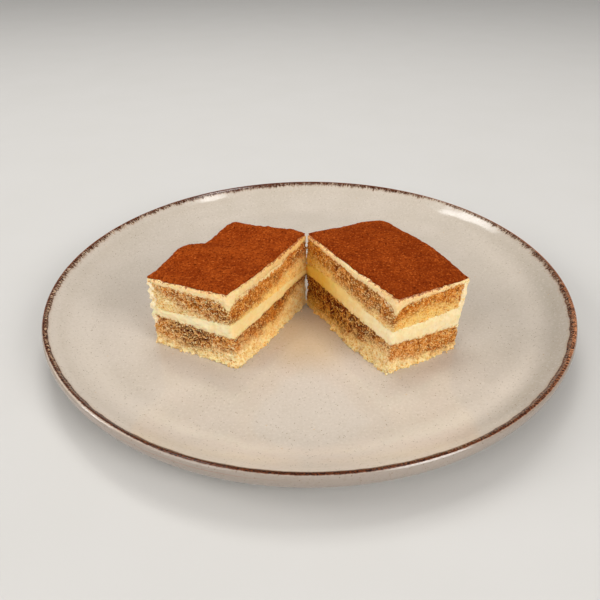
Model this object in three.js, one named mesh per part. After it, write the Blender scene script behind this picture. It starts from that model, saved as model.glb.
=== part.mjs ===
// A tiramisu portion, cut lengthwise into two blocks that meet at a back corner, on a dinner plate.
// Millimetres, +Z up. The origin is the centre of the plate, on the table it stands on.
// Each block is five closed layers, from the plate up: soaked sponge, cream, soaked sponge, cream, cocoa.

import * as THREE from 'three';

// ---- driving dimensions: plate ----

const plateRadius = 140;
const plateSegments = 72;
const wellFloor = 9;             // height of the flat eating surface above the table
const lipRadius = 138.6;         // crest of the rounded lip
const lipHeight = 20.5;
const lipEdgeHeight = 19;        // widest point of the lip
const undersideRadius = 121.5;   // the outer wall has turned under here
const undersideHeight = 4.2;
const footOuterRadius = 94;
const footInnerRadius = 87.5;
const footChamfer = 0.9;
const footRootHeight = 4.2;
const baseRecess = 3.6;          // height of the underside inside the foot ring
const wallSteps = 8;

// The eating surface from the flat of the well to the lip: [radius, height above the table].
const wellCurve = [
  [100, wellFloor], [106, 9.12], [112, 9.63], [117, 10.54], [121, 11.67],
  [124.5, 12.97], [127.5, 14.31], [130, 15.57], [133, 17.24], [136.4, 19.35],
];

// ---- driving dimensions: cake ----

const layerGap = 0.3;            // clearance kept between pieces that touch
const nominalHeight = 42;        // height over which a block's sides lean
const cocoaThickness = 0.9;
const cocoaSetback = 0.6;        // the cocoa stops this far short of the cut
const blockWidth = 43;           // along the short front face
const blockDepth = 67;           // along the long cut face

// Grid of each layer: steps across, steps deep, and steps up for the three kinds of layer.
const stepsAcross = 8;
const stepsDeep = 12;
const stepsUp = { sponge: 3, cream: 2, cocoa: 1 };

// How far the middle of a layer's side stands out from its edges. Sponge shrinks back, cream swells.
const sideSwell = { sponge: -0.2, cream: 0.3, cocoa: 0.1 };

// The four corners of a block are always given in this order, seen from above:
// front left, front right, back right, back left.
// foot and top are plan positions; the heights of the layer boundaries are above the well floor.
// A swell is [across, deep, reach across, reach deep, rise]; a bow is [along, reach, outwards].
const leftBlock = {
  foot: [[-77.4, -42.6], [-35.6, -63.6], [-1.3, -9.4], [-40.6, 9.0]],
  top: [[-76.8, -44.6], [-36.4, -63.6], [-1.3, -8.8], [-40.4, 7.0]],
  cornerRadius: [2.0, 1.5, 0.8, 6.0],
  cutSide: 1,
  lowerSponge: [18.2, 16.2, 19.4, 19.0],
  middleCream: [21.4, 23.8, 21.6, 22.4],
  upperSponge: [36.4, 36.0, 38.4, 38.4],
  topCream: [39.2, 40.8, 42.6, 41.6],
  surfaceSwells: [
    [0.0, 0.40, 0.35, 0.17, 3.0],
    [0.05, 0.66, 0.3, 0.12, -1.8],
    [0.2, 0.92, 0.4, 0.16, 1.2],
    [0.8, 0.45, 0.3, 0.2, -1.0],
    [0.85, 1.0, 0.22, 0.14, 0.9],
  ],
  creamSwells: [],
  topBows: { left: [[0.4, 0.14, 2.2], [0.2, 0.12, 1.2]], right: [], front: [], back: [[0.7, 0.3, 1.8]] },
  footBows: { left: [], right: [[0.3, 0.28, 2.0]], front: [], back: [] },
};

const rightBlock = {
  foot: [[35.6, -69.2], [72.0, -49.4], [41.6, 8.4], [-0.5, -9.8]],
  top: [[38.2, -68.8], [74.0, -49.8], [42.0, 7.6], [-0.4, -9.4]],
  cornerRadius: [1.5, 2.0, 9.0, 0.8],
  cutSide: 0,
  lowerSponge: [16.4, 13.4, 17.0, 20.0],
  middleCream: [23.0, 24.4, 25.0, 24.6],
  upperSponge: [37.0, 38.6, 40.0, 40.2],
  topCream: [41.2, 39.8, 42.0, 43.2],
  surfaceSwells: [
    [0.9, 0.5, 0.35, 0.3, 1.4],
    [0.0, 0.45, 0.2, 0.25, -0.9],
    [0.2, 1.0, 0.2, 0.14, 0.6],
  ],
  creamSwells: [[0.0, 0.66, 0.5, 0.28, 2.4]],
  topBows: { left: [], right: [[0.45, 0.32, 2.2], [0.22, 0.12, 0.6]], front: [], back: [[0.7, 0.28, 2.6]] },
  footBows: { left: [[0.35, 0.28, 1.8]], right: [], front: [[0.5, 0.35, 1.4]], back: [] },
};

// At the front corner of the cut the top cream runs down into a wedge.
const wedgeDrop = 4.2;
const wedgeReach = 4.2;
const wedgeSharpness = 1.5;

// Share of the surface waves that each layer boundary follows.
const waveShare = { lowerSponge: 0.15, middleCream: 0.25, upperSponge: 0.9, topCream: 1 };

// ---- materials ----

const plateGlaze = new THREE.MeshStandardMaterial({ color: '#cdbfad', roughness: 0.3, metalness: 0 });
const layerMaterials = {
  sponge: new THREE.MeshStandardMaterial({ color: '#a8753c', roughness: 0.9, metalness: 0 }),
  cream: new THREE.MeshStandardMaterial({ color: '#f3dfa6', roughness: 0.55, metalness: 0 }),
  cocoa: new THREE.MeshStandardMaterial({ color: '#94420f', roughness: 0.95, metalness: 0 }),
};

// ---- plate ----

// Points of a quarter turn that starts level at `from` and ends upright at `to`.
function quarterBend(from, to, steps) {
  const points = [];
  for (let i = 0; i <= steps; i += 1) {
    const angle = (i / steps) * (Math.PI / 2);
    points.push(new THREE.Vector2(
      from[0] + (to[0] - from[0]) * Math.sin(angle),
      from[1] + (to[1] - from[1]) * (1 - Math.cos(angle)),
    ));
  }
  return points;
}

function plateProfile() {
  const outerWall = quarterBend([undersideRadius, undersideHeight], [plateRadius, lipEdgeHeight], wallSteps);
  const inwards = [...wellCurve].reverse();
  const lipShoulder = 0.4;
  return [
    new THREE.Vector2(0, baseRecess),
    new THREE.Vector2(footInnerRadius, baseRecess),
    new THREE.Vector2(footInnerRadius + footChamfer, 0),
    new THREE.Vector2(footOuterRadius - footChamfer, 0),
    new THREE.Vector2(footOuterRadius, footRootHeight),
    ...outerWall,
    new THREE.Vector2(plateRadius - lipShoulder, lipHeight - lipShoulder),
    new THREE.Vector2(lipRadius, lipHeight),
    new THREE.Vector2(lipRadius - 2 * lipShoulder, lipHeight - lipShoulder),
    ...inwards.map(([radius, height]) => new THREE.Vector2(radius, height)),
    new THREE.Vector2(0, wellFloor),
  ];
}

function makePlate() {
  const turned = new THREE.LatheGeometry(plateProfile(), plateSegments);
  turned.rotateX(Math.PI / 2);   // the lathe turns about Y; the plate stands on Z
  return turned;
}

// ---- cake ----

// Blend of the four corner values at the plan position (across, deep), each from 0 to 1.
function betweenCorners(corners, across, deep) {
  return corners[0] * (1 - across) * (1 - deep)
    + corners[1] * across * (1 - deep)
    + corners[2] * across * deep
    + corners[3] * (1 - across) * deep;
}

function sumOfSwells(swells, across, deep) {
  let rise = 0;
  for (const [centreAcross, centreDeep, reachAcross, reachDeep, height] of swells) {
    const offset = ((across - centreAcross) / reachAcross) ** 2 + ((deep - centreDeep) / reachDeep) ** 2;
    rise += height * Math.exp(-offset);
  }
  return rise;
}

function sumOfBows(bows, along) {
  let outwards = 0;
  for (const [centre, reach, depth] of bows) {
    outwards += depth * Math.exp(-(((along - centre) / reach) ** 2));
  }
  return outwards;
}

// Height of a layer boundary above the well floor. The floor itself is the boundary 'floor'.
function boundaryHeight(block, boundary, across, deep) {
  if (boundary === 'floor') {
    return layerGap;
  }
  let height = betweenCorners(block[boundary], across, deep);
  height += waveShare[boundary] * sumOfSwells(block.surfaceSwells, across, deep);
  if (boundary === 'middleCream') {
    height += sumOfSwells(block.creamSwells, across, deep);
  }
  if (boundary === 'upperSponge') {
    const fromCorner = Math.hypot((across - block.cutSide) * blockWidth, deep * blockDepth);
    height -= wedgeDrop * Math.exp(-((fromCorner / wedgeReach) ** wedgeSharpness));
  }
  return height;
}

// Rounds the four upright corners: inside a corner's square, rays from the centre of its
// arc are shortened until the square's far sides lie on the arc.
function roundCorners(block, across, deep) {
  const cornerIndex = (deep < 0.5 ? [0, 1] : [3, 2])[across < 0.5 ? 0 : 1];
  const radius = block.cornerRadius[cornerIndex];
  const fromSide = Math.min(across, 1 - across) * blockWidth;
  const fromEnd = Math.min(deep, 1 - deep) * blockDepth;
  if (fromSide >= radius || fromEnd >= radius) {
    return [across, deep];
  }
  const outSide = radius - fromSide;
  const outEnd = radius - fromEnd;
  const scale = Math.max(outSide, outEnd) / Math.hypot(outSide, outEnd);
  const newSide = (radius - outSide * scale) / blockWidth;
  const newEnd = (radius - outEnd * scale) / blockDepth;
  return [across < 0.5 ? newSide : 1 - newSide, deep < 0.5 ? newEnd : 1 - newEnd];
}

// Plan position of a point at the given height, with the lean and the bows of the four sides.
function planPosition(block, across, deep, height, swell) {
  const lean = Math.min(1, height / nominalHeight);
  const bowsAt = (side, along) => lean * sumOfBows(block.topBows[side], along)
    + (1 - lean) ** 2 * sumOfBows(block.footBows[side], along) + swell;
  const right = bowsAt('right', deep) * across ** 3;
  const left = bowsAt('left', deep) * (1 - across) ** 3;
  const back = bowsAt('back', across) * deep ** 3;
  const front = bowsAt('front', across) * (1 - deep) ** 3;
  const newAcross = across + (right - left) / blockWidth;
  const newDeep = deep + (back - front) / blockDepth;
  return [0, 1].map((axis) => {
    const atFoot = betweenCorners(block.foot.map((corner) => corner[axis]), newAcross, newDeep);
    const atTop = betweenCorners(block.top.map((corner) => corner[axis]), newAcross, newDeep);
    return atFoot + (atTop - atFoot) * lean;
  });
}

// Grid lines lie closer together towards the sides, where the shape changes most.
function crowdToEdges(share) {
  return (1 - Math.cos(Math.PI * share)) / 2;
}

// A box splits the cells of its top and its bottom along opposite diagonals. Every second layer
// is mirrored, so that two faces that meet are split alike and lie parallel.
function mirrorAcross(box) {
  box.scale(-1, 1, 1);
  const order = box.index.array;
  for (let i = 0; i < order.length; i += 3) {
    [order[i], order[i + 2]] = [order[i + 2], order[i]];
  }
}

// A layer is a gridded box whose points are moved into place, so it stays closed.
function makeLayer(block, kind, below, above) {
  const box = new THREE.BoxGeometry(1, 1, 1, stepsAcross, stepsDeep, stepsUp[kind]);
  if (kind === 'cream') {
    mirrorAcross(box);
  }
  const points = box.attributes.position;
  const setback = kind === 'cocoa' ? cocoaSetback : 0;
  for (let i = 0; i < points.count; i += 1) {
    const gridAcross = crowdToEdges(points.getX(i) + 0.5);
    const gridDeep = crowdToEdges(points.getY(i) + 0.5);
    const up = points.getZ(i) + 0.5;
    const [across, deep] = roundCorners(block, gridAcross, gridDeep);
    const bottom = boundaryHeight(block, below, across, deep) + (below === 'floor' ? 0 : layerGap);
    const top = kind === 'cocoa' ? bottom + cocoaThickness : boundaryHeight(block, above, across, deep);
    const height = bottom + (top - bottom) * up;
    const swell = sideSwell[kind] * 4 * up * (1 - up) - setback;
    const [x, y] = planPosition(block, across, deep, height, swell);
    points.setXYZ(i, x, y, wellFloor + height);
  }
  return box;
}

// ---- the whole object ----

const tiramisu = new THREE.Group();

function addPiece(name, geometry, material) {
  const mesh = new THREE.Mesh(geometry, material);
  mesh.name = name;
  tiramisu.add(mesh);
}

const layers = [
  ['sponge_lower', 'sponge', 'floor', 'lowerSponge'],
  ['cream_middle', 'cream', 'lowerSponge', 'middleCream'],
  ['sponge_upper', 'sponge', 'middleCream', 'upperSponge'],
  ['cream_top', 'cream', 'upperSponge', 'topCream'],
  ['cocoa', 'cocoa', 'topCream', 'surface'],
];

addPiece('plate', makePlate(), plateGlaze);
for (const [side, block] of [['left', leftBlock], ['right', rightBlock]]) {
  for (const [layer, kind, below, above] of layers) {
    addPiece(`${layer}_${side}`, makeLayer(block, kind, below, above), layerMaterials[kind]);
  }
}

export default tiramisu;
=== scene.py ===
"""Looks of a tiramisu portion, cut into two blocks, on a stoneware dinner plate.

Shapes are worked out in millimetres in the part's own frame and turned into metres when a mesh is made.
A block's corners are always given in this order, seen from above: front left, front right, back right,
back left. A place on a block is (across, deep, up): from 0 to 1 over its width, its depth and one layer.
"""

import math

import bmesh
import bpy
import numpy as np
from mathutils import Matrix, Vector, noise


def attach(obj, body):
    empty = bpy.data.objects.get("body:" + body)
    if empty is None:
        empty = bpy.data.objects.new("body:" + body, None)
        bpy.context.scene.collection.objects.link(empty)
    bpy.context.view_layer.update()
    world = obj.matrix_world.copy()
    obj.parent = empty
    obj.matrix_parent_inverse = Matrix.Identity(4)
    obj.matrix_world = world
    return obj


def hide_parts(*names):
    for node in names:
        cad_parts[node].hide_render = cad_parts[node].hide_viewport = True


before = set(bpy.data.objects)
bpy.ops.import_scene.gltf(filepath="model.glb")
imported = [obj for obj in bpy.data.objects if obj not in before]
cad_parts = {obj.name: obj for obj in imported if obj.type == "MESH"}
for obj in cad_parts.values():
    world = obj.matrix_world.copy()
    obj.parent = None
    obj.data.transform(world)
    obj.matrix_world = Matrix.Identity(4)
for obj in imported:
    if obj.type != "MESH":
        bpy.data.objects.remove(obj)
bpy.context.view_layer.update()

MM = 0.001
BODY = "root"
WELL_FLOOR = 9.0
COARSE = 2.0               # cells of the layers' hidden faces
FINE = 0.25
PLATE_STEPS = 288


def add_object(name, data):
    made = bpy.data.objects.new(name, data)
    bpy.context.scene.collection.objects.link(made)
    return made


# ---- camera and light ----

LENS = 36.0
SENSOR_WIDTH = 36.0
CLIP_START = 0.01
CAMERA_PLACE = (-4.5, -286.2, 192.6)
CAMERA_TILT = 33.19        # degrees below the horizon
CAMERA_ROLL = -0.656
SKY_STRENGTH = 0.22


def add_camera():
    data = bpy.data.cameras.new("camera")
    data.lens = LENS
    data.sensor_width = SENSOR_WIDTH
    data.clip_start = CLIP_START
    camera = add_object("camera", data)
    look_down = Matrix.Rotation(math.radians(90.0 - CAMERA_TILT), 4, "X")
    roll = Matrix.Rotation(math.radians(CAMERA_ROLL), 4, "Z")
    camera.matrix_world = Matrix.Translation(Vector(CAMERA_PLACE) * MM) @ look_down @ roll
    bpy.context.scene.camera = camera


def add_softbox(name, place, size, power, colour, in_gloss=True, in_diffuse=True, length=None):
    """A soft light that faces the plate, with its place and size in metres and its power in watts.

    It can be kept out of the glossy reflections, or give nothing but those.
    """
    data = bpy.data.lights.new(name, "AREA")
    data.shape = "RECTANGLE"
    data.size = size
    data.size_y = length or size
    data.energy = power
    data.color = colour
    lamp = add_object(name, data)
    lamp.location = place
    lamp.rotation_euler = (-Vector(place)).to_track_quat("-Z", "Y").to_euler()
    lamp.visible_glossy = in_gloss
    lamp.visible_diffuse = in_diffuse


def add_lights():
    """A key from the front right, weaker fills, and small lights that mirror in the glaze and its lip."""
    warm = (1.0, 0.985, 0.965)
    add_softbox("key_front_right", (1.60, -1.60, 1.30), 1.2, 42.0, warm)
    add_softbox("fill_front_left", (-1.60, -1.60, 1.30), 1.2, 15.0, warm)
    add_softbox("fill_left", (-2.26, 0.0, 1.30), 1.2, 23.0, warm, in_gloss=False)
    add_softbox("top", (0.0, -0.3, 2.7), 1.6, 8.0, warm, in_gloss=False)
    add_softbox("top_back", (-0.05, 0.42, 1.16), 0.5, 4.6, warm, in_gloss=False)
    white = (1.0, 1.0, 1.0)
    add_softbox("shine_right", (0.29, 0.37, 1.22), 0.1, 0.25, white)
    add_softbox("shine_left", (-0.335, 0.603, 1.074), 0.13, 0.74, white, length=0.22)
    add_softbox("glint_left", (-1.92, 0.08, 1.32), 0.5, 11.5, white, in_diffuse=False)
    add_softbox("glint_right", (1.06, -0.66, 1.76), 0.7, 16.0, white, in_diffuse=False)
    world = bpy.data.worlds.new("studio")
    world.use_nodes = True
    sky = world.node_tree.nodes["Background"]
    sky.inputs["Color"].default_value = (1.0, 0.99, 0.98, 1.0)
    sky.inputs["Strength"].default_value = SKY_STRENGTH
    bpy.context.scene.world = world
    bpy.context.scene.view_settings.view_transform = "Standard"


# ---- shader maths ----

def srgb(red, green, blue):
    """Linear colour of a colour given as it looks, 0 to 255."""
    linear = []
    for part in (red, green, blue):
        value = part / 255.0
        linear.append(value / 12.92 if value <= 0.04045 else ((value + 0.055) / 1.055) ** 2.4)
    return (*linear, 1.0)


class Signal:
    """One output of a shader node. Arithmetic on signals adds Math nodes."""

    def __init__(self, finish, socket):
        self.finish = finish
        self.socket = socket

    def maths(self, operation, *terms, clamp=False):
        settings = {"operation": operation, "use_clamp": clamp}
        return self.finish.node("ShaderNodeMath", settings, dict(enumerate(terms)))

    def __add__(self, other):
        return self.maths("ADD", self, other)

    def __radd__(self, other):
        return self.maths("ADD", other, self)

    def __sub__(self, other):
        return self.maths("SUBTRACT", self, other)

    def __rsub__(self, other):
        return self.maths("SUBTRACT", other, self)

    def __mul__(self, other):
        return self.maths("MULTIPLY", self, other)

    def __truediv__(self, other):
        return self.maths("DIVIDE", self, other)

    def __pow__(self, other):
        return self.maths("POWER", self, other)

    def step(self, low, high):
        """0 below low, 1 above high and smooth between them; falling if low is the larger."""
        settings = {"interpolation_type": "SMOOTHSTEP"}
        return self.finish.node("ShaderNodeMapRange", settings, {0: self, 1: low, 2: high})

    def clamped(self):
        return self.maths("ADD", self, 0.0, clamp=True)

    def at_least(self, other):
        return self.maths("MAXIMUM", self, other)


class Finish:
    """A material, with its Principled shader and short ways to the nodes that colour it."""

    def __init__(self, name, **uniform):
        self.material = bpy.data.materials.new(name)
        self.material.use_nodes = True
        self.tree = self.material.node_tree
        self.shader = self.tree.nodes["Principled BSDF"]
        for socket, value in uniform.items():
            self.shader.inputs[socket.replace("_", " ")].default_value = value
        self.place = self.node("ShaderNodeTexCoord", output="Object")

    def node(self, kind, settings=None, sockets=None, output=0):
        made = self.tree.nodes.new(kind)
        for name, value in (settings or {}).items():
            setattr(made, name, value)
        for key, value in (sockets or {}).items():
            self.feed(made.inputs[key], value)
        return Signal(self, made.outputs[output])

    def feed(self, socket, value):
        if isinstance(value, Signal):
            self.tree.links.new(value.socket, socket)
        else:
            socket.default_value = value

    def drive(self, socket, value):
        self.feed(self.shader.inputs[socket], value)

    def attribute(self, name):
        return self.node("ShaderNodeAttribute", {"attribute_name": name}, output="Fac")

    def noise(self, size, detail=2.0, roughness=0.5, place=None):
        """Cloudy noise, about 0 to 1, with lumps of this size in millimetres."""
        sockets = {"Vector": place or self.place, "Scale": 1.0 / (size * MM), "Detail": detail,
                   "Roughness": roughness}
        return self.node("ShaderNodeTexNoise", None, sockets, output="Fac")

    def cells(self, size):
        """Distance to the nearest of scattered points, in cells of this size in millimetres."""
        sockets = {"Vector": self.place, "Scale": 1.0 / (size * MM)}
        return self.node("ShaderNodeTexVoronoi", None, sockets, output="Distance")

    def vector(self, x, y, z):
        return self.node("ShaderNodeCombineXYZ", None, {0: x, 1: y, 2: z})

    def along(self, axis):
        return self.node("ShaderNodeSeparateXYZ", None, {0: self.place}, output=axis)

    def blend(self, under, over, share):
        settings = {"data_type": "RGBA", "clamp_factor": True}
        return self.node("ShaderNodeMix", settings, {0: share, 6: under, 7: over}, output=2)

    def tint(self, colour, filtered, share):
        """The colour as seen through a filter of this colour, by this share."""
        settings = {"data_type": "RGBA", "blend_type": "MULTIPLY", "clamp_factor": True}
        return self.node("ShaderNodeMix", settings, {0: share, 6: colour, 7: (*filtered, 1.0)}, output=2)

    def bump(self, height, depth, strength):
        sockets = {"Height": height, "Distance": depth * MM, "Strength": strength}
        return self.node("ShaderNodeBump", None, sockets, output="Normal")


# ---- finishes ----

BAND_EDGE = 136.8          # radius of the oxide band's inner edge, before its strokes and bends
BAND_END = 140.3           # where the band ends on the outside, counted over the crest
CREST_HEIGHT = 20.35
LIGHT_REACH = 0.002        # how far light scatters into sponge and cream, in metres
MOST = (0.35, 0.65)        # the range that most of a noise lies in
DEEP_YELLOW = (0.92, 0.7, 0.18)


class PlatePlace:
    """Where a point of the plate lies, in millimetres, and its direction from the middle as cosines."""

    def __init__(self, look):
        self.x, self.y, self.z = (look.along(axis) / MM for axis in "XYZ")
        self.radius = (self.x * self.x + self.y * self.y) ** 0.5
        self.right = self.x / self.radius
        self.back = self.y / self.radius
        self.front = (0.0 - self.y).step(0.0, 90.0)


def glaze_body(look, at, mottle):
    """The glaze inside the band: clouds, painted light and shade on the wall, mottling, specks and a
    painted warm bounce by the cake.
    """
    body = look.blend(srgb(196, 185, 171), srgb(201, 190, 177), look.noise(24.0).step(*MOST))
    # Painted light makes the wall paler, most of all at the front; painted shade darkens the right wall
    # and the back.
    wall = at.radius.step(111.0, 122.0)
    right_wall = at.right.step(0.3, 0.8) * (1.0 - at.back.step(-0.1, 0.3) * 0.45)
    back_wall = at.back.step(0.3, 0.7) * wall * 0.5
    shaded_wall = back_wall.at_least(right_wall * at.radius.step(121.0, 132.0))
    body = look.blend(body, srgb(222, 211, 197), wall * (at.front * 0.42 + 0.22) * (1.0 - shaded_wall))
    body = look.tint(body, (0.83, 0.83, 0.82), shaded_wall)
    # A faint ring of painted shade where the wall curves up towards the lip.
    upper_wall_shade = at.radius.step(126.5, 130.5) * at.radius.step(134.0, 132.0)
    body = look.blend(body, srgb(180, 166, 146), upper_wall_shade * 0.12)
    body = look.blend(body, srgb(184, 170, 151), mottle.step(0.5, 0.7) * 0.3)
    body = look.blend(body, srgb(216, 206, 193), mottle.step(0.48, 0.3) * 0.4)
    speck = look.cells(1.5).step(0.22, 0.12) * look.noise(2.3, 1.0).step(0.46, 0.54)
    body = look.blend(body, srgb(138, 120, 98), speck * 0.75)
    warm_spot = look.cells(9.0).step(0.06, 0.03)
    body = look.blend(body, srgb(200, 165, 115), warm_spot * 0.45)
    # Painted warm bounce light from the cake, on the plate between the blocks.
    from_notch = (at.x * at.x * 1.6 + (at.y + 40.0) * (at.y + 40.0)) ** 0.5
    warm_bounce_between_blocks = from_notch.step(36.0, 8.0) * at.z.step(6.0, 8.0)
    return look.blend(body, srgb(204, 171, 108), warm_bounce_between_blocks * 0.4)


def glaze_finish():
    """Beige speckled stoneware glaze with a brown oxide band that feathers in from the rim."""
    look = Finish("plate_glaze", IOR=1.5)
    at = PlatePlace(look)
    mottle = look.noise(1.3, 2.0, 0.7)
    body = glaze_body(look, at, mottle)

    # Strokes of the band run along the radius, because their noise is read almost on one circle.
    circle = look.vector(at.right, at.back, at.radius * 0.0022)
    strokes = look.noise(8.0, 3.0, 0.7, place=circle)
    hairs = look.noise(4.0, 2.0, 0.6, place=circle)
    reach = look.noise(48.0, place=circle)
    flecks = look.noise(0.7, 3.0, 0.7)

    # Parts of the rim, for where the band is feathered, worn or wider.
    feather = at.back.step(-0.35, 0.25)
    east = at.right.step(0.0, 0.6)
    west = at.right.step(-0.6, -0.9)
    left_front = at.right.step(0.0, -0.3) * at.front
    sideways = at.right.step(0.45, 0.75) * at.back.step(0.6, 0.3)
    left_bend = at.right.step(-0.3, -0.55) * at.back.step(-0.4, -0.6)
    back_left = feather * at.right.step(0.3, -0.3)
    width = sideways * 0.6 + at.back.step(0.7, 0.95) + left_bend * 0.45 + back_left * 0.5
    band_edge = BAND_EDGE - width - (strokes - 0.5) * (feather * 6.5 + 0.4)
    band_edge = band_edge - (reach - 0.5) * (feather * 1.4 + 1.6)
    in_band = at.radius - band_edge
    body = look.blend(body, srgb(172, 132, 94), in_band.step(-1.2, 0.0) * 0.3)

    # The radius, counted on past the crest by how far the lip has come down outside it. The outside
    # is tinted darker as painted shade where it lies under a slope through the wall's thickness, low
    # down, or past the crest.
    past_crest = at.radius + (CREST_HEIGHT - at.z) * at.radius.step(138.4, 139.2)
    above_wall = at.z - (at.radius - 100.0) * 0.5
    outside = above_wall.step(0.2, -1.0).at_least(at.z.step(8.0, 6.0))
    outside = outside.at_least(past_crest.step(138.8, 139.6))
    body = look.tint(body, (0.62, 0.63, 0.66), outside)
    over_lip = past_crest + (strokes - 0.5) * 0.8
    outer = BAND_END - at.back.step(-0.1, -0.6) * 1.1 - at.right.step(-0.35, -0.6) * at.front * 0.6
    band = in_band.step(-0.2, 0.3) * at.z.step(14.2, 15.0) * (over_lip - outer).step(0.3, -0.3)

    # Dark pigment, worn to copper on the crest and on the right, with pale stripes and light gaps. The
    # pale stripes are the pigment's own lighter strokes, and on the right side also painted highlights.
    pigment = look.blend(srgb(34, 10, 2), srgb(98, 46, 16), flecks.step(0.42, 0.58))
    copper = look.blend(srgb(136, 76, 42), srgb(204, 140, 98), flecks.step(0.42, 0.58))
    copper = look.tint(copper, (0.8, 0.6, 0.4), feather)
    on_crest = (over_lip + feather * 0.7).step(138.6, 139.5)
    pigment = look.blend(pigment, copper, on_crest * (feather * 0.4 + east * 0.4 + 0.2))
    outer_half = at.radius.step(137.0, 138.3) * 0.9 + 0.1
    worn = (flecks * 0.4 + strokes * 0.6).step(0.46, 0.53) * outer_half * at.back.step(-0.85, -0.35)
    pigment = look.blend(pigment, copper, worn * east * (1.0 - feather))
    # Pale stripes: lighter strokes of the pigment, and on the right side painted highlights.
    pale_stripe_and_glint = in_band.step(0.2, 0.6) * in_band.step(2.0, 1.2)
    pale_stripe_and_glint = pale_stripe_and_glint * (west * 0.7 + feather * 0.4 + east * 0.3)
    pigment = look.blend(pigment, srgb(220, 186, 150), pale_stripe_and_glint * hairs.step(0.52, 0.57))
    gap = (hairs * 0.7 + flecks * 0.3).step(0.53, 0.57) * in_band.step(3.2, 1.2) * feather
    colour = look.blend(body, pigment, band * (1.0 - gap * 0.85))

    # A thin run of pigment outside the lip, at the left front.
    run_line = at.z - 17.9 - (reach - 0.5) * 1.6
    run = run_line.step(-0.2, 0.0) * run_line.step(0.2, 0.0) * at.radius.step(138.0, 138.6)
    colour = look.blend(colour, srgb(164, 108, 84), run * left_front * 0.8)
    look.drive("Base Color", colour)
    look.drive("Roughness", 0.09 + band * 0.06)
    relief = look.noise(20.0, 1.0) * 2.0 + mottle * 0.08 * (1.0 - band)
    look.drive("Normal", look.bump(relief, 0.35, 0.45))
    return look.material


def crumb_colour(look):
    """The crumb's colour, and its finest noise for what lies over it.

    Torn walls stand round bubbles: brown where coffee soaked them, yellow where they stayed dry.
    Painted shade darkens the bubbles, pores and hollows; painted highlights lighten the walls and the
    brightest flakes.
    """
    torn = look.attribute("torn")
    patch = look.noise(5.0)
    fine = look.noise(0.8, 3.0, 0.75)
    kept = look.attribute("wall")
    wall = kept + (fine - 0.5) * 2.0 + (look.noise(3.2) - 0.5) * 0.9
    share = (look.attribute("dry") + (patch - 0.5) * 1.1 + (fine - 0.5) * 0.8 * torn).step(0.0, 1.0)
    spots = look.noise(2.2)
    soak = (look.attribute("soak") + (patch - 0.5) * 1.8 + (spots - 0.5) * 1.2).clamped()
    soaked = look.blend(srgb(208, 134, 56), srgb(108, 50, 10), soak)
    soaked = look.blend(soaked, srgb(190, 100, 38), look.noise(2.0).step(0.52, 0.64) * 0.4)
    pale = look.blend(srgb(250, 210, 140), srgb(255, 230, 168), look.noise(3.0, 1.0).step(*MOST))
    pale = look.blend(pale, srgb(238, 176, 84), look.noise(2.0, 1.0).step(0.57, 0.65) * 0.5)
    colour = look.blend(soaked, pale, share)
    contrast = 0.4 + torn * 0.6
    # Painted shade in the bubbles, and painted highlights on the walls of crumb between them.
    dark = wall.step(0.26, -0.02) * contrast
    light = wall.step(0.62, 0.92) * contrast
    colour = look.tint(colour, (0.5, 0.28, 0.13), dark * (1.0 - share))
    colour = look.tint(colour, (0.78, 0.56, 0.28), dark * share)
    lit_wall = look.blend(srgb(248, 198, 128), srgb(255, 238, 192), share)
    colour = look.blend(colour, lit_wall, light * 0.75)
    # A painted glint on the brightest flakes.
    colour = look.blend(colour, srgb(253, 222, 170), kept.step(1.2, 1.8))
    # Painted shade in the pores and hollows.
    colour = look.tint(colour, (0.34, 0.18, 0.09), look.attribute("pit") * (1.0 - share * 0.7))
    return look.tint(colour, (0.96, 0.72, 0.24), look.attribute("moist")), fine


def sponge_finish():
    """Open crumb, with the cream that the knife dragged over it."""
    look = Finish("soaked_sponge", Subsurface_Weight=0.15, Subsurface_Scale=LIGHT_REACH,
                  Specular_IOR_Level=0.15)
    colour, fine = crumb_colour(look)
    cream = look.blend(srgb(246, 220, 166), srgb(255, 243, 214), fine.step(*MOST))
    cream = look.blend(cream, srgb(242, 196, 110), look.noise(2.8, 1.0).step(0.58, 0.68) * 0.5)
    cream = look.tint(cream, DEEP_YELLOW, look.attribute("yellow"))
    covered = (look.attribute("cream") + (fine - 0.5) * 1.5).step(0.3, 0.7)
    look.drive("Base Color", look.blend(colour, cream, covered))
    look.drive("Roughness", 0.9 - covered * 0.3)
    relief = fine * 0.6 + look.noise(0.4, 1.0) * 0.2
    look.drive("Normal", look.bump(relief, 0.4, 0.6))
    return look.material


def cream_finish():
    """Soft pale yellow cream, with crumb dragged into its edges and cocoa fallen on its top."""
    look = Finish("cream", Subsurface_Weight=0.3, Subsurface_Scale=LIGHT_REACH, Specular_IOR_Level=0.25)
    grit = look.noise(1.1, 3.0, 0.65)
    coarse = look.noise(4.0)
    colour = look.blend(srgb(254, 230, 178), srgb(255, 237, 194), coarse.step(*MOST))
    crumb = (look.attribute("crumb") + (grit - 0.5) * 2.8).step(0.5, 0.85)
    colour = look.blend(colour, srgb(212, 152, 88), crumb * 0.85)
    colour = look.tint(colour, DEEP_YELLOW, look.attribute("yellow"))
    dust = look.attribute("dust")
    stain = (dust * 0.5 + look.attribute("stain") + (grit - 0.5) * 1.4).clamped()
    colour = look.tint(colour, (0.88, 0.68, 0.46), stain)
    fallen = look.noise(1.6, 4.0, 0.75)
    cocoa = (dust * 1.25 + (fallen - 0.5) * 3.6).step(0.8, 1.1)
    shade = look.blend(srgb(196, 112, 52), srgb(138, 60, 20), look.noise(1.0).step(0.4, 0.6))
    look.drive("Base Color", look.blend(colour, shade, cocoa * 0.9))
    look.drive("Roughness", 0.45 + crumb * 0.35)
    look.drive("Normal", look.bump(grit * 0.6 + look.noise(0.45) * 0.25, 0.4, 0.6))
    return look.material


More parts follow.
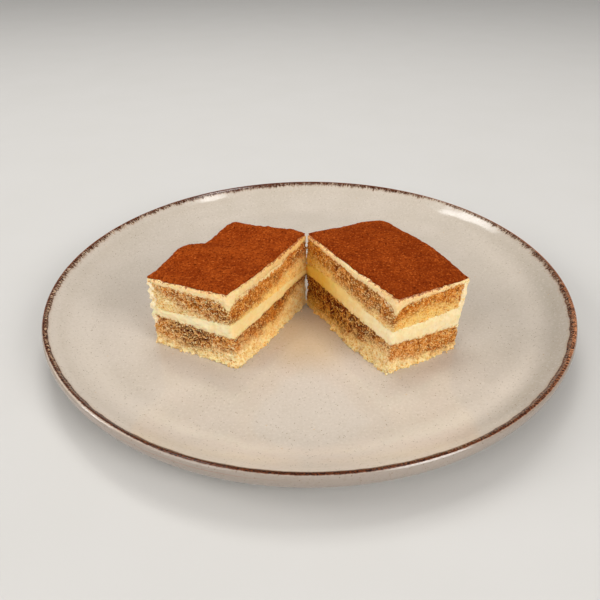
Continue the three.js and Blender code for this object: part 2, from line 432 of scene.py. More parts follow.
def cocoa_finish():
    """Sifted cocoa: matt, grainy, and broken up where it runs out over the cream."""
    look = Finish("cocoa", Roughness=0.95, Specular_IOR_Level=0.02)
    grain = look.noise(1.0, 3.0, 0.7)
    clump = look.noise(2.6, 3.0, 0.6)
    cloud = look.noise(10.0)
    colour = look.blend(srgb(134, 53, 12), srgb(152, 66, 18), cloud.step(*MOST))
    colour = look.tint(colour, (0.86, 0.82, 0.8), look.along("X").step(-0.01, 0.01))
    colour = look.blend(colour, srgb(84, 26, 4), grain.step(0.47, 0.34))
    colour = look.blend(colour, srgb(192, 100, 40), grain.step(0.55, 0.68) * 0.85)
    colour = look.blend(colour, srgb(112, 40, 8), clump.step(0.54, 0.66) * 0.5)
    thick = look.attribute("thick") + (grain - 0.5) * 1.8 + (clump - 0.5) * 1.8
    covered = thick.step(-0.5, -0.35)
    look.drive("Base Color", look.blend(srgb(214, 142, 84), colour, covered))
    look.drive("Normal", look.bump(grain * 0.6 + clump * 0.5, 0.5, 0.9))
    return look.material


def floor_finish():
    look = Finish("floor", Roughness=0.7)
    look.drive("Base Color", look.blend(srgb(206, 204, 200), srgb(210, 208, 205), look.noise(60.0)))
    return look.material


# ---- meshes ----

def add_piece(name, mesh, finish, slot, *nodes):
    """Puts a finished mesh in the scene as a piece that rides on the part and stands for CAD nodes."""
    mesh.materials.append(finish)
    mesh.shade_smooth()
    piece = add_object(name, mesh)
    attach(piece, BODY)
    if nodes:
        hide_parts(*nodes)


def mesh_from(bm, name):
    bmesh.ops.recalc_face_normals(bm, faces=bm.faces)
    mesh = bpy.data.meshes.new(name)
    bm.to_mesh(mesh)
    bm.free()
    return mesh


def read_points(mesh):
    points = np.empty(len(mesh.vertices) * 3)
    mesh.vertices.foreach_get("co", points)
    return points.reshape(-1, 3)


def write_points(mesh, points):
    mesh.vertices.foreach_set("co", (points * MM).ravel())
    mesh.update()


def store(mesh, name, values):
    """Keeps one number for each vertex, for the finish to read."""
    mesh.attributes.new(name, "FLOAT", "POINT").data.foreach_set("value", values.astype(np.float32))


def spans(edge, axis):
    """Whether an edge of the unit box still runs from one face to the opposite one."""
    return abs((edge.verts[0].co - edge.verts[1].co)[axis]) > 0.9


def unit_box(cells, fine_faces):
    """A closed unit box with a grid of coarse cells on every face, and FINE cells on the chosen faces."""
    bm = bmesh.new()
    bmesh.ops.create_cube(bm, size=1.0)
    for axis, count in enumerate(cells):
        whole = [edge for edge in bm.edges if spans(edge, axis)]
        bmesh.ops.subdivide_edges(bm, edges=whole, cuts=count - 1, use_grid_fill=True)
    bm.normal_update()
    edges = {edge for face in bm.faces if fine_faces(face.normal) for edge in face.edges}
    bmesh.ops.subdivide_edges(bm, edges=list(edges), cuts=round(COARSE / FINE) - 1, use_grid_fill=True)
    return mesh_from(bm, "unit_box")


# ---- plate ----

PLATE_FLAT = 100.0
UNDERSIDE = 3.6            # height of the plate's underside above the table
FOOT_INNER = 87.5
FOOT_OUTER = 94.0
LIP_EDGE = (140.0, 19.0)
LIP_CREST = (138.6, 20.5)
# Inner surface from the flat of the well to the lip, as (radius, height above the table).
WELL_CURVE = ((PLATE_FLAT, WELL_FLOOR), (106.0, 9.12), (112.0, 9.63), (117.0, 10.54), (121.0, 11.67),
              (124.5, 12.97), (127.5, 14.31), (130.0, 15.57), (133.0, 17.24), (136.4, 19.35))


def smooth_line(points, steps):
    """A Catmull-Rom line through the points."""
    line = []
    ends = (points[0], *points, points[-1])
    for i in range(1, len(points)):
        a, b, c, d = (np.array(ends[i + k]) for k in range(-1, 3))
        for step in range(steps):
            t = step / steps
            line.append(tuple(0.5 * (2 * b + (c - a) * t + (2 * a - 5 * b + 4 * c - d) * t ** 2
                                     + (3 * b - a - 3 * c + d) * t ** 3)))
    line.append(points[-1])
    return line


def bend(start, end, steps, level_first=True):
    """A quarter of an ellipse from start to end, level at the start or upright at the start."""
    line = []
    for i in range(steps + 1):
        angle = i / steps * math.pi / 2
        run, rise = (math.sin(angle), 1 - math.cos(angle))
        if not level_first:
            run, rise = rise, run
        line.append((start[0] + (end[0] - start[0]) * run, start[1] + (end[1] - start[1]) * rise))
    return line


def plate_profile():
    """The plate's section as (radius, height), from the underside's middle round to the well's middle."""
    underside = [(radius, UNDERSIDE) for radius in (0.0, 30.0, 60.0, 84.0)]
    foot = [*bend((84.5, UNDERSIDE), (FOOT_INNER, 1.2), 5),
            *bend((FOOT_INNER, 1.1), (FOOT_INNER + 1.3, 0.0), 4, level_first=False),
            (FOOT_INNER + 3.2, 0.0),
            *bend((FOOT_OUTER - 1.2, 0.0), (FOOT_OUTER, 1.0), 4),
            *bend((FOOT_OUTER, 1.2), (FOOT_OUTER + 3.6, 4.2), 5, level_first=False)]
    wall = bend((121.5, 4.2), LIP_EDGE, 26)
    crest = bend(LIP_EDGE, LIP_CREST, 7, level_first=False)
    inner_lip = bend(LIP_CREST, (137.3, 19.9), 4)
    well = smooth_line(WELL_CURVE, 4)
    flat = [(radius, WELL_FLOOR) for radius in (80.0, 55.0, 30.0, 0.0)]
    return [*underside, *foot, *wall, *crest[1:], *inner_lip[1:], *reversed(well), *flat]


def add_plate(finish):
    """The plate's profile spun round the Z axis."""
    bm = bmesh.new()
    line = [bm.verts.new((radius * MM, 0.0, height * MM)) for radius, height in plate_profile()]
    edges = [bm.edges.new(pair) for pair in zip(line, line[1:])]
    bmesh.ops.spin(bm, geom=[*line, *edges], axis=(0, 0, 1), cent=(0, 0, 0), angle=2 * math.pi,
                   steps=PLATE_STEPS, use_merge=True)
    bmesh.ops.remove_doubles(bm, verts=bm.verts, dist=0.00001)
    add_piece("dinner_plate", mesh_from(bm, "dinner_plate"), finish, "plate_glaze", "plate")


# ---- cake blocks ----

BLOCK_WIDTH = 43.0
BLOCK_DEPTH = 67.0
NOMINAL_HEIGHT = 42.0
RIM_CELL = 0.7             # width of the outermost ring of cells on a layer's top and bottom
RELIEF_REACH = 1.3         # how far into a layer the relief of its sides reaches
WEDGE_DROP = 5.8           # how deep cream was pressed into the sponge at the cut's front corner
WEDGE_REACH = 2.6
SIDE_BLEND = 0.8           # how gradually one side's values pass into the next side's at a corner
CREAM_OVERLAP = 0.3        # how far a cream layer reaches into the sponge below and above it
COCOA_SUNK = 0.15          # how far the powder's underside sits in the cream
PORE_SIZE = 2.2
BUBBLE_SIZE = 1.3

# Share of the block's surface swells that each layer boundary follows, and how ragged the boundary is.
WAVE_SHARE = {"lower_sponge": 0.15, "middle_cream": 0.25, "upper_sponge": 0.9, "top_cream": 1.0}
RAGGEDNESS = {"lower_sponge": 0.55, "middle_cream": 0.42, "upper_sponge": 0.7, "top_cream": 0.0}

# A block's table. Heights count from the well's floor.
# foot, top: corners in plan, at the foot and at NOMINAL_HEIGHT; corner_radius: how round they are
# cut_side: where the cut face is, 0 at the left or 1 at the right
# lower_sponge, middle_cream, upper_sponge, top_cream: height of the layer's top at each corner
# swells: (across, deep, reach across, reach deep, rise) of the block's top, or of the middle cream
# bows: (along, reach, outwards) of a side, at its top or its foot
# bulges: (across, deep, height, reach in plan, reach upwards, outwards) of the sides
# hollows: (side, along, height, half width, half height) of large holes in the crumb
# smears: (across, deep, lower end, reach, knobs' height) of cream dragged down a corner
# drags: (side, along, reach along, depth below the top cream, cover) of cream dragged down a side
# seed: shifts the block's noises, to which each noise adds a number of its own
# The rest is given for the left, right, front and back side: at its start (at the left or the front),
# its middle and its end, or as one number for all three.
# dry: how much of a sponge's height the coffee didn't reach
# soak: how dark the coffee made the crumb
# darker_top: how much darker the crumb is at the layer's top than at its foot
# moist: how deep and yellow the crumb looks
# yellow: how deep and yellow the cream looks; yellow_top: the same of the top cream
# On the right block's cut side these rise towards the back, where they also hold the painted shade
# and painted warm bounce light of the narrow gap between the blocks.
# torn: how rough the side is, torn rather than cut
# dust: how much cocoa fell on the top cream's side
LEFT_BLOCK = {
    "name": "left",
    "foot": ((-77.4, -42.6), (-35.6, -63.6), (-1.3, -9.4), (-40.6, 9.0)),
    "top": ((-76.8, -44.6), (-36.4, -63.6), (-1.3, -8.8), (-40.4, 7.0)),
    "corner_radius": (2.0, 1.5, 0.8, 6.0),
    "cut_side": 1,
    "lower_sponge": (18.2, 16.2, 19.4, 19.0),
    "middle_cream": (21.4, 23.8, 21.6, 22.4),
    "upper_sponge": (36.4, 36.0, 38.4, 38.4),
    "top_cream": (39.2, 40.8, 42.6, 41.6),
    "surface_swells": ((0.0, 0.40, 0.35, 0.17, 3.0), (0.05, 0.66, 0.3, 0.12, -1.8),
                       (0.2, 0.92, 0.4, 0.16, 1.2), (0.8, 0.45, 0.3, 0.2, -1.0),
                       (0.85, 1.0, 0.22, 0.14, 0.9)),
    "cream_swells": (),
    "top_bows": {"left": ((0.4, 0.14, 2.2), (0.2, 0.12, 1.2)), "back": ((0.7, 0.3, 1.8),)},
    "foot_bows": {"right": ((0.3, 0.28, 2.0),)},
    "bulges": ((1.0, 1.0, 24.0, 4.0, 6.0, 0.5), (1.0, 0.06, 2.0, 9.0, 4.0, 0.8)),
    "dry_lower": ((0.3, 0.35, 0.3), (0.57, 0.43, 0.92), (0.34, 0.25, 0.58), (0.35, 0.3, 0.4)),
    "dry_upper": ((0.45, 0.4, 0.5), (0.05, 0.28, 0.62), (0.97, 0.18, 0.02), (0.5, 0.4, 0.5)),
    "soak_lower": ((0.4, 0.5, 0.5), (0.2, 0.5, 0.6), (-0.6, 1.35, -0.9), 0.5),
    "soak_upper": ((0.3, 0.4, 0.4), (0.5, 0.25, 0.68), (-0.4, 0.05, 0.6), 0.4),
    "darker_top_lower": (0.8, 0.7, (0.9, 1.0, 0.9), 0.8),
    "darker_top_upper": (0.1, (-0.4, -0.4, 0.0), 0.0, 0.1),
    "moist_lower": ((0.2, 0.4, 0.4), (0.1, 0.9, 0.6), (0.1, 0.1, 0.0), (0.4, 0.4, 0.5)),
    "moist_upper": ((0.2, 0.4, 0.4), (0.7, 0.75, 0.55), (0.0, 0.05, 0.15), (0.4, 0.4, 0.6)),
    "yellow": ((0.1, 0.2, 0.2), (0.4, 0.42, 0.62), (0.0, 0.0, 0.03), (0.2, 0.2, 0.4)),
    "yellow_top": ((0.1, 0.2, 0.2), (0.28, 0.3, 0.4), (0.0, 0.0, 0.03), (0.2, 0.2, 0.3)),
    "hollows": (),
    "torn": ((0.8, 0.8, 0.7), (0.6, 0.45, 0.6), (0.9, 1.0, 1.0), (0.7, 0.6, 0.6)),
    "dust": (0.8, (0.35, 0.95, 1.2), (0.5, 0.85, 0.7), (0.8, 0.8, 0.9)),
    "smears": ((0.0, 0.0, 13.0, 3.2, 1.2),),
    "drags": (("right", 0.12, 0.12, 5.0, 0.6), ("right", 0.5, 0.24, 3.6, 0.95),
              ("front", 0.85, 0.12, 2.5, 0.4)),
    "seed": 11.0,
}

RIGHT_BLOCK = {
    "name": "right",
    "foot": ((35.6, -69.2), (72.0, -49.4), (41.6, 8.4), (-0.5, -9.8)),
    "top": ((38.2, -68.8), (74.0, -49.8), (42.0, 7.6), (-0.4, -9.4)),
    "corner_radius": (1.5, 2.0, 9.0, 0.8),
    "cut_side": 0,
    "lower_sponge": (16.4, 13.4, 17.0, 20.0),
    "middle_cream": (23.0, 24.4, 25.0, 24.6),
    "upper_sponge": (36.8, 38.1, 40.0, 40.2),
    "top_cream": (41.2, 39.8, 42.0, 43.2),
    "surface_swells": ((0.9, 0.5, 0.35, 0.3, 1.4), (0.0, 0.45, 0.2, 0.25, -0.9),
                       (0.2, 1.0, 0.2, 0.14, 0.6)),
    "cream_swells": ((0.0, 0.66, 0.5, 0.28, 2.4),),
    "top_bows": {"right": ((0.45, 0.32, 2.2), (0.22, 0.12, 0.6)), "back": ((0.7, 0.28, 2.6),)},
    "foot_bows": {"left": ((0.35, 0.28, 1.8),), "front": ((0.5, 0.35, 1.4),)},
    "bulges": ((0.0, 1.0, 24.0, 4.0, 6.0, 0.5), (0.0, 0.4, 2.0, 6.0, 4.0, 1.0),
               (0.0, 0.6, 1.2, 1.5, 1.6, 1.6)),
    "dry_lower": ((0.76, 0.24, 0.25), (0.35, 0.3, 0.35), (0.38, 0.27, 0.15), (0.3, 0.35, 0.3)),
    "dry_upper": ((0.25, 0.16, 0.48), (0.5, 0.45, 0.4), (0.43, 0.58, 0.16), (0.5, 0.5, 0.45)),
    # Towards the back of the cut side, soak, darker_top, moist and yellow also hold painted shade and
    # warm bounce light.
    "soak_lower": ((-0.2, 1.4, 2.05), (0.4, 0.5, 0.5), (0.05, 0.1, 0.2), (0.6, 0.5, 0.5)),
    "soak_upper": ((0.4, 0.5, 0.1), 0.4, (0.05, 0.05, -0.35), 0.4),
    "darker_top_lower": ((1.4, 1.5, 1.9), 0.8, (-0.1, -0.55, -0.55), 0.8),
    "darker_top_upper": (0.0, 0.1, 0.0, 0.1),
    "moist_lower": ((0.0, 0.9, 1.8), 0.4, (0.1, 0.42, 0.55), (0.6, 0.5, 0.5)),
    "moist_upper": ((0.2, 0.45, 1.2), 0.4, (0.8, 0.75, 0.66), (0.6, 0.5, 0.5)),
    "yellow": ((-0.2, 0.5, 1.4), 0.2, 0.1, (0.4, 0.2, 0.2)),
    "yellow_top": ((0.0, 0.0, 0.25), 0.2, 0.1, 0.2),
    "torn": ((0.8, 0.75, 0.7), (0.8, 0.7, 0.8), (0.65, 0.75, 1.0), (0.7, 0.6, 0.6)),
    "hollows": (("left", 0.64, 35.2, 1.3, 1.5), ("left", 0.73, 39.3, 0.9, 0.9)),
    "dust": ((0.95, 0.42, 1.1), 0.8, (1.1, 0.9, 0.35), (0.9, 0.8, 0.8)),
    "smears": ((1.0, 0.0, 12.0, 3.6, 0.25),),
    "drags": (("left", 0.08, 0.1, 4.0, 0.5), ("front", 0.3, 0.2, 2.0, 0.4)),
    "seed": 47.0,
}

# Layer, the boundary below it and the boundary above it.
SPONGES = (("sponge_lower", "floor", "lower_sponge"), ("sponge_upper", "middle_cream", "upper_sponge"))
CREAMS = (("cream_middle", "lower_sponge", "middle_cream"), ("cream_top", "upper_sponge", "top_cream"))


def shifted(points, size, seed):
    return (points / size + seed).tolist()


def clouds(points, size, seed):
    """Smooth noise, about -1 to 1, with lumps of this size in millimetres."""
    return np.array([noise.noise(place) for place in shifted(points, size, seed)])


def nearest_two(points, size, seed):
    """Distances to the nearest two of scattered points, in cells of this size."""
    return np.array([noise.voronoi(place)[0][:2] for place in shifted(points, size, seed)]).T


def pore_depth(points, size, seed):
    """Depth of round pores of about this size, 0 between them and 1 at their middle."""
    return smoothstep(0.62, 0.12, nearest_two(points, size, seed)[0])


def foam(points, size, seed):
    """Walls of crumb round bubbles of about this size: 1 on a wall and 0 in the middle of a bubble."""
    first, second = nearest_two(points, size, seed)
    return smoothstep(0.4, 0.02, second - first)


def smoothstep(low, high, values):
    share = np.clip((values - low) / (high - low), 0.0, 1.0)
    return share * share * (3 - 2 * share)


def hump(distance, reach):
    return np.exp(-((distance / reach) ** 2))


def between_corners(corners, across, deep):
    front_left, front_right, back_right, back_left = corners
    return (front_left * (1 - across) * (1 - deep) + front_right * across * (1 - deep)
            + back_right * across * deep + back_left * (1 - across) * deep)


def sum_of_swells(swells, across, deep):
    rise = np.zeros_like(across)
    for centre_across, centre_deep, reach_across, reach_deep, height in swells:
        rise += height * hump(across - centre_across, reach_across) * hump(deep - centre_deep, reach_deep)
    return rise


def sum_of_bows(bows, along):
    outwards = np.zeros_like(along)
    for centre, reach, depth in bows:
        outwards += depth * hump(along - centre, reach)
    return outwards


class Spot:
    """Grid points of a layer: where they are over the block's width and depth, and how near its sides."""

    def __init__(self, block, mesh):
        grid = read_points(mesh) + 0.5
        self.block = block
        self.up = grid[:, 2]
        self.across, self.deep = round_corners(block, pull_rim(grid[:, 0], BLOCK_WIDTH),
                                               pull_rim(grid[:, 1], BLOCK_DEPTH))
        self.distance = {"left": self.across * BLOCK_WIDTH, "right": (1 - self.across) * BLOCK_WIDTH,
                         "front": self.deep * BLOCK_DEPTH, "back": (1 - self.deep) * BLOCK_DEPTH}
        self.near = {side: hump(distance, RELIEF_REACH) for side, distance in self.distance.items()}
        self.along = {"left": self.deep, "right": self.deep, "front": self.across, "back": self.across}
        self.flat = np.stack([self.across * BLOCK_WIDTH, self.deep * BLOCK_DEPTH, self.up * 0.0], axis=1)

    def on_side(self, table):
        """A value given at the start, middle and end of each side, read on the nearest side."""
        weight = {side: np.exp(-distance / SIDE_BLEND) for side, distance in self.distance.items()}
        total = 0.0
        for (side, along), given in zip(self.along.items(), table):
            values = np.broadcast_to(given, 3)
            total = total + weight[side] * np.interp(along, (0.0, 0.5, 1.0), values)
        return total / sum(weight.values())

    def boundary(self, name):
        """Height of a layer boundary above the well floor."""
        if name == "floor":
            return np.zeros_like(self.across)
        block = self.block
        height = between_corners(block[name], self.across, self.deep)
        height += WAVE_SHARE[name] * sum_of_swells(block["surface_swells"], self.across, self.deep)
        if name == "middle_cream":
            height += sum_of_swells(block["cream_swells"], self.across, self.deep)
        if name == "upper_sponge":
            corner = np.hypot((self.across - block["cut_side"]) * BLOCK_WIDTH, self.deep * BLOCK_DEPTH)
            height -= WEDGE_DROP * np.exp(-corner / WEDGE_REACH)
        seed = block["seed"] + len(name)
        ragged = clouds(self.flat, 5.0, seed) + 0.9 * clouds(self.flat, 1.7, seed)
        return height + RAGGEDNESS[name] * ragged + 0.25 * clouds(self.flat, 8.0, seed)

    def place(self, height, outwards):
        """Points in plan at this height, with the sides' lean, bows and bulges and a push outwards."""
        block = self.block
        lean = np.clip(height / NOMINAL_HEIGHT, 0.0, 1.0)
        for across, deep, middle, reach, reach_up, swell in block["bulges"]:
            from_middle = np.hypot((self.across - across) * BLOCK_WIDTH, (self.deep - deep) * BLOCK_DEPTH)
            outwards = outwards + swell * hump(from_middle, reach) * hump(height - middle, reach_up)
        push = {}
        inwards = {"left": 1 - self.across, "right": self.across,
                   "front": 1 - self.deep, "back": self.deep}
        for side, along in self.along.items():
            bow = (lean * sum_of_bows(block["top_bows"].get(side, ()), along)
                   + (1 - lean) ** 2 * sum_of_bows(block["foot_bows"].get(side, ()), along))
            push[side] = bow * inwards[side] ** 3 + outwards * self.near[side]
        across = self.across + (push["right"] - push["left"]) / BLOCK_WIDTH
        deep = self.deep + (push["back"] - push["front"]) / BLOCK_DEPTH
        plan = []
        for axis in (0, 1):
            foot = between_corners([corner[axis] for corner in block["foot"]], across, deep)
            top = between_corners([corner[axis] for corner in block["top"]], across, deep)
            plan.append(foot + (top - foot) * lean)
        return np.stack([*plan, height], axis=1)

    def smear(self, height, points):
        """Cover, 0 to 1, of the cream that the knife dragged down the corners, and its knobs' height."""
        cover = np.zeros_like(height)
        knobs = np.zeros_like(height)
        for across, deep, low, reach, rise in self.block["smears"]:
            away = np.hypot((self.across - across) * BLOCK_WIDTH, (self.deep - deep) * BLOCK_DEPTH)
            ragged = reach * (1 + 0.5 * clouds(points, 3.0, self.block["seed"] + 5))
            here = smoothstep(1.25, 0.75, away / ragged) * smoothstep(low - 2, low + 2, height)
            cover = np.maximum(cover, here)
            knobs += rise * here * clouds(points, 1.9, self.block["seed"] + 10)
        return cover, knobs

    def drag(self, below_top, points):
        """Cover of the thin cream dragged down the sides from the top layer, in upright streaks."""
        cover = np.zeros_like(below_top)
        streaks = clouds(points * np.array([1.0, 1.0, 0.22]), 1.6, self.block["seed"] + 6)
        for side, along, reach, depth, share in self.block["drags"]:
            here = hump(self.along[side] - along, reach) * self.near[side]
            cover += share * here * smoothstep(depth, 0.0, below_top + 1.6 * streaks)
        return cover


def pull_rim(share, span):
    """Moves the outermost inner grid line close to the edge, so that a layer's edge is finely drawn."""
    line = 1.0 / round(span / COARSE)
    rim = RIM_CELL / span
    return np.interp(share, (0.0, line, 1 - line, 1.0), (0.0, rim, 1 - rim, 1.0))


def round_corners(block, across, deep):
    """Bends the grid so that the upright corners follow their arcs."""
    near_right = across >= 0.5
    near_back = deep >= 0.5
    front_left, front_right, back_right, back_left = block["corner_radius"]
    radius = np.where(near_back, np.where(near_right, back_right, back_left),
                      np.where(near_right, front_right, front_left))
    from_side = np.minimum(across, 1 - across) * BLOCK_WIDTH
    from_end = np.minimum(deep, 1 - deep) * BLOCK_DEPTH
    out_side = np.maximum(radius - from_side, 0.0)
    out_end = np.maximum(radius - from_end, 0.0)
    both = (out_side > 0) & (out_end > 0)
    square = np.maximum(out_side, out_end)
    scale = np.where(both, square / np.maximum(np.hypot(out_side, out_end), 1e-9), 1.0)
    new_side = np.where(both, radius - out_side * scale, from_side) / BLOCK_WIDTH
    new_end = np.where(both, radius - out_end * scale, from_end) / BLOCK_DEPTH
    return np.where(near_right, 1 - new_side, new_side), np.where(near_back, 1 - new_end, new_end)


def finish_layer(mesh, block, layer, points, values, finish, slot):
    """Sets a layer on the well's floor, with its values for the finish, as the piece of one CAD node."""
    points[:, 2] += WELL_FLOOR
    write_points(mesh, points)
    for name, value in values.items():
        store(mesh, name, value)
    node = f"{layer}_{block['name']}"
    mesh.name = node
    add_piece(f"{node}_{slot}", mesh, finish, slot, node)


def add_sponge(block, layer, below, above, finish, box):
    """One sponge layer: crumb in relief on its sides, torn ragged where it stands on the plate."""
    mesh = box.copy()
    spot = Spot(block, mesh)
    seed = block["seed"]
    bottom = spot.boundary(below)
    top = spot.boundary(above)
    height = bottom + (top - bottom) * spot.up
    points = spot.place(height, 0.0)
    is_lower = layer == "sponge_lower"
    which = "lower" if is_lower else "upper"
    share = spot.on_side(block[f"dry_{which}"])
    level = spot.up + 0.1 * clouds(points, 5.0, seed + 7)
    dry = smoothstep(share + 0.3, share - 0.3, level)

    # Cream dragged over the crumb, and a little caught at the edges next to the cream layers.
    over_cream = top if is_lower else height - bottom
    cream, knobs = spot.smear(height, points)
    cream = np.maximum(cream, spot.drag(top if is_lower else top - height, points))
    caught = np.maximum(0.6 * smoothstep(1.5, 0.0, over_cream), 0.25 * smoothstep(1.2, 0.0, top - height))
    covered = smoothstep(0.3, 0.7, cream)

    # Pores and hollows, and the walls of crumb between small bubbles.
    torn = spot.on_side(block["torn"])
    pit = pore_depth(points, PORE_SIZE, seed) * smoothstep(-0.1, 0.35, clouds(points, 4.5, seed + 3))
    pit *= torn * (1 - covered)
    for side, along, middle, half_width, half_height in block["hollows"]:
        off_along = (spot.along[side] - along) * BLOCK_DEPTH / half_width
        away = np.hypot(off_along, (height - middle) / half_height)
        pit = np.maximum(pit, 1.6 * spot.near[side] * smoothstep(1.3, 0.5, away))
    warped = points + 0.45 * np.stack([clouds(points, 1.3, seed + k) for k in (12, 13, 14)], axis=1)
    wall = foam(warped, BUBBLE_SIZE, seed + 8) + 0.5 * clouds(points, 1.8, seed + 9)

    # The relief of all that, on sides that wave a little, with a ragged foot on the plate.
    relief = 0.5 * clouds(points, 9.0, seed) + 0.3 * clouds(points, 2.8, seed + 1)
    relief += ((wall - 0.5) * 0.65 - 0.9 * pit) * (0.3 + 0.7 * torn) * (1 - 0.35 * dry) * (1 - covered)
    relief += covered * 0.5 + knobs
    if is_lower:
        foot = smoothstep(3.6, 0.4, height)
        relief += foot * (0.5 + 0.9 * clouds(points, 4.0, seed + 4) + 0.9 * clouds(points, 1.9, seed + 4))
    height = height + 0.3 * clouds(points, 1.2, seed + 11) * 4 * spot.up * (1 - spot.up)
    points = spot.place(height, relief - 0.1)

    soak = spot.on_side(block[f"soak_{which}"])
    soak += spot.on_side(block[f"darker_top_{which}"]) * (spot.up - 0.55)
    moist = spot.on_side(block[f"moist_{which}"]) * (1 - (0.6 if is_lower else 0.1) * dry)
    values = {"dry": dry, "wall": wall, "pit": pit, "cream": np.maximum(cream, caught), "torn": torn,
              "soak": soak, "moist": moist, "yellow": spot.on_side(block["yellow"])}
    finish_layer(mesh, block, layer, points, values, finish, "soaked_sponge")
    return mesh, values


def add_cream(block, layer, below, above, finish, box):
    """One cream layer, swollen a little past the sponge; the top one has a rounded shoulder."""
    mesh = box.copy()
    spot = Spot(block, mesh)
    seed = block["seed"] + 20
    is_top = layer == "cream_top"
    bottom = spot.boundary(below) - CREAM_OVERLAP
    top = spot.boundary(above) + (0.0 if is_top else CREAM_OVERLAP)
    height = bottom + (top - bottom) * spot.up
    shoulder = smoothstep(0.4, 1.0, spot.up) ** 2 if is_top else np.zeros_like(height)
    swell = 0.3 * 4 * spot.up * (1 - spot.up) - 0.6 * shoulder
    points = spot.place(height, swell)
    torn = spot.on_side(block["torn"])
    relief = 0.5 * clouds(points, 9.0, block["seed"])
    relief += (0.1 + 0.3 * torn) * clouds(points, 2.2, seed + 1)
    relief += (0.05 + 0.15 * torn) * clouds(points, 0.9, seed + 2)
    near = np.minimum(1.0, sum(spot.near.values()))
    _, knobs = spot.smear(height, points)
    points = spot.place(height - 0.5 * near * shoulder, swell + relief + knobs)
    dust = spot.on_side(block["dust"]) if is_top else np.zeros_like(height)
    fallen = (smoothstep(3.4, 0.0, top - height) + 0.5 * smoothstep(1.4, 0.1, height - bottom)) * dust
    crumb = smoothstep(2.0, 0.2, height - bottom) * (0.4 + 0.35 * torn)
    yellow = spot.on_side(block["yellow_top" if is_top else "yellow"])
    values = {"crumb": crumb, "dust": fallen, "stain": 0.55 * dust, "yellow": yellow}
    finish_layer(mesh, block, layer, points, values, finish, "cream")


def add_cocoa(block, finish, box):
    """A thin bed of powder that follows the top cream and runs out, ragged, on its shoulder."""
    mesh = box.copy()
    spot = Spot(block, mesh)
    seed = block["seed"] + 30
    cream = spot.boundary("top_cream")
    edge = np.minimum.reduce(list(spot.distance.values()))
    inset = (0.3 * clouds(spot.flat, 1.2, seed) + 0.7 * clouds(spot.flat, 3.0, seed)
             + 0.35 * clouds(spot.flat, 8.0, seed) - 0.5)
    thick = smoothstep(0.0, 1.8, edge)
    grain = 0.26 * clouds(spot.flat, 1.1, seed + 1) + 0.22 * clouds(spot.flat, 2.4, seed + 2)
    slanted = spot.flat * np.array([0.35, 1.0, 1.0]) + spot.flat[:, [1, 0, 2]] * 0.3
    folds = clouds(slanted, 4.5, seed + 3)
    creases = smoothstep(0.16, 0.0, np.abs(folds))
    creases *= smoothstep(0.0, 0.5, clouds(spot.flat, 9.0, seed + 4))
    bed = 0.35 + 0.55 * thick + (grain + 0.25 * folds + 0.35 * creases) * (0.3 + 0.7 * thick)
    height = cream - 0.5 * (1 - thick) + np.where(spot.up > 0.5, bed, -COCOA_SUNK)
    points = spot.place(height, inset)
    finish_layer(mesh, block, "cocoa", points, {"thick": thick}, finish, "cocoa")


def is_upright(normal):
    return abs(normal.z) < 0.5


def is_upwards(normal):
    return normal.z > 0.5


FLAKES_PER_LAYER = 2400
CRUMBS_PER_LAYER = 80
FLAKE_HALF_AXES = ((0.3, 0.85), (0.15, 0.28), (0.1, 0.18))
CRUMB_HALF_AXES = (1.2, 1.0, 0.8)


def lump():
    """Points and faces of a small round lump with a radius of 1."""
    bm = bmesh.new()
    bmesh.ops.create_icosphere(bm, subdivisions=1, radius=1.0)
    points = np.array([tuple(vert.co) for vert in bm.verts])
    faces = np.array([[vert.index for vert in face.verts] for face in bm.faces])
    bm.free()
    return points, faces


def joined_lumps(name, centres, axes, values, rng, finish):
    """One piece of many lumps, each at its centre and stretched along its own three half axes."""
    points, faces = lump()
    dented = points[None] * rng.uniform(0.7, 1.2, (len(centres), len(points), 1))
    placed = np.einsum("nvk,nkj->nvj", dented, axes) + centres[:, None]
    numbered = faces[None] + (np.arange(len(centres)) * len(points))[:, None, None]
    mesh = bpy.data.meshes.new(name)
    mesh.from_pydata((placed.reshape(-1, 3) * MM).tolist(), [], numbered.reshape(-1, 3).tolist())
    for label, value in values.items():
        store(mesh, label, np.repeat(value, len(points)))
    add_piece(name, mesh, finish, "soaked_sponge")


def random_axes(normals, rng, lengths, tilt):
    """Half axes: the first lies near the surface in any direction, the others square to it."""
    count = len(normals)
    along = rng.normal(size=(count, 3))
    along -= normals * (np.sum(along * normals, axis=1)[:, None] * (1 - tilt))
    along /= np.linalg.norm(along, axis=1)[:, None]
    side = np.cross(normals + rng.normal(scale=0.2, size=(count, 3)), along)
    side /= np.linalg.norm(side, axis=1)[:, None]
    over = np.cross(along, side)
    return np.stack([along, side, over], axis=1) * lengths[:, :, None]


def side_points(mesh):
    """Points, outward directions and numbers of the vertices on a layer's sides."""
    normals = np.empty(len(mesh.vertices) * 3)
    mesh.vertices.foreach_get("normal", normals)
    normals = normals.reshape(-1, 3)
    chosen = np.flatnonzero(np.abs(normals[:, 2]) < 0.7)
    return read_points(mesh)[chosen] / MM, normals[chosen], chosen


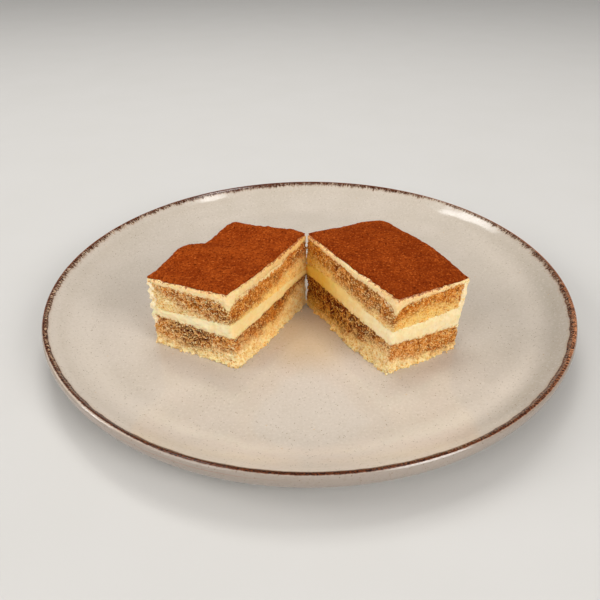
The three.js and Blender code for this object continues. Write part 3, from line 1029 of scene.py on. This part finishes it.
def add_flakes(layers, finish):
    """Flakes of crumb that stand off the torn faces."""
    rng = np.random.default_rng(7)
    parts = []
    for mesh, values in layers:
        points, normals, chosen = side_points(mesh)
        chance = values["torn"][chosen] ** 2 * (1 - np.clip(values["cream"][chosen] * 1.5, 0, 1)) + 0.001
        picked = rng.choice(len(chosen), FLAKES_PER_LAYER, replace=False, p=chance / chance.sum())
        looks = [values[name][chosen[picked]] for name in ("soak", "moist", "dry")]
        parts.append((points[picked], normals[picked], *looks))
    centres, normals, soak, moist, dry = (np.concatenate(column) for column in zip(*parts))
    count = len(centres)
    lengths = np.stack([rng.uniform(low, high, count) for low, high in FLAKE_HALF_AXES], axis=1)
    # About a quarter of the flakes get a painted glint, and the darkest tones get the painted shade of
    # the bubbles.
    tone = rng.uniform(size=count) + 0.08 * np.clip(soak, 0.0, 1.5)
    is_pale = tone < 0.5
    wall = np.select([tone < 0.24, is_pale, tone < 0.85], [2.5, 1.0, 0.6], 0.15)
    values = {"dry": np.where(is_pale, 0.8, dry), "wall": wall, "soak": soak, "moist": moist * 0.7,
              "torn": np.ones(count)}
    axes = random_axes(normals, rng, lengths, 0.35)
    joined_lumps("crumb_flakes", centres + normals * 0.08, axes, values, rng, finish)


def add_loose_crumbs(layers, finish):
    """Crumbs that lie on the plate along the feet of the blocks."""
    rng = np.random.default_rng(19)
    parts = []
    lower_layers = layers[::2]
    for mesh, values in lower_layers:
        points, normals, chosen = side_points(mesh)
        low = np.flatnonzero(points[:, 2] < WELL_FLOOR + 0.8)
        picked = rng.choice(low, CRUMBS_PER_LAYER, replace=False)
        parts.append((points[picked], normals[picked], values["soak"][chosen[picked]]))
    feet, normals, soak = (np.concatenate(column) for column in zip(*parts))
    count = len(feet)
    size = 0.2 + 0.6 * rng.uniform(size=count) ** 2.5
    away = rng.exponential(0.5, count)
    centres = feet + normals * np.array([1.0, 1.0, 0.0]) * away[:, None]
    centres[:, 2] = WELL_FLOOR + size * 0.6
    lengths = size[:, None] * np.array(CRUMB_HALF_AXES)
    values = {"dry": rng.uniform(0.6, 1.0, count), "wall": rng.uniform(0.4, 0.9, count),
              "soak": soak * 0.5, "torn": np.ones(count)}
    upright = np.tile((0.0, 0.0, 1.0), (count, 1))
    axes = random_axes(upright, rng, lengths, 0.1)
    joined_lumps("loose_crumbs", centres, axes, values, rng, finish)


def add_cake(sponge, cream, cocoa):
    across, deep = round(BLOCK_WIDTH / COARSE), round(BLOCK_DEPTH / COARSE)
    sponge_box = unit_box((across, deep, 9), is_upright)
    cream_box = unit_box((across, deep, 3), is_upright)
    cocoa_box = unit_box((across, deep, 1), is_upwards)
    sponges = []
    for block in (LEFT_BLOCK, RIGHT_BLOCK):
        for layer, below, above in SPONGES:
            sponges.append(add_sponge(block, layer, below, above, sponge, sponge_box))
        for layer, below, above in CREAMS:
            add_cream(block, layer, below, above, cream, cream_box)
        add_cocoa(block, cocoa, cocoa_box)
    add_flakes(sponges, sponge)
    add_loose_crumbs(sponges, sponge)


# ---- floor ----

FLOOR_RADIUS = 4.0         # in metres
FLOOR_HEIGHT = -0.0002     # just under the foot ring


def add_floor(finish):
    bm = bmesh.new()
    bmesh.ops.create_circle(bm, cap_ends=True, segments=96, radius=FLOOR_RADIUS)
    bmesh.ops.translate(bm, verts=bm.verts, vec=(0, 0, FLOOR_HEIGHT))
    mesh = mesh_from(bm, "floor")
    mesh.materials.append(finish)
    floor = add_object("floor", mesh)


# ---- the scene ----

add_camera()
add_lights()
add_floor(floor_finish())
add_plate(glaze_finish())
add_cake(sponge_finish(), cream_finish(), cocoa_finish())
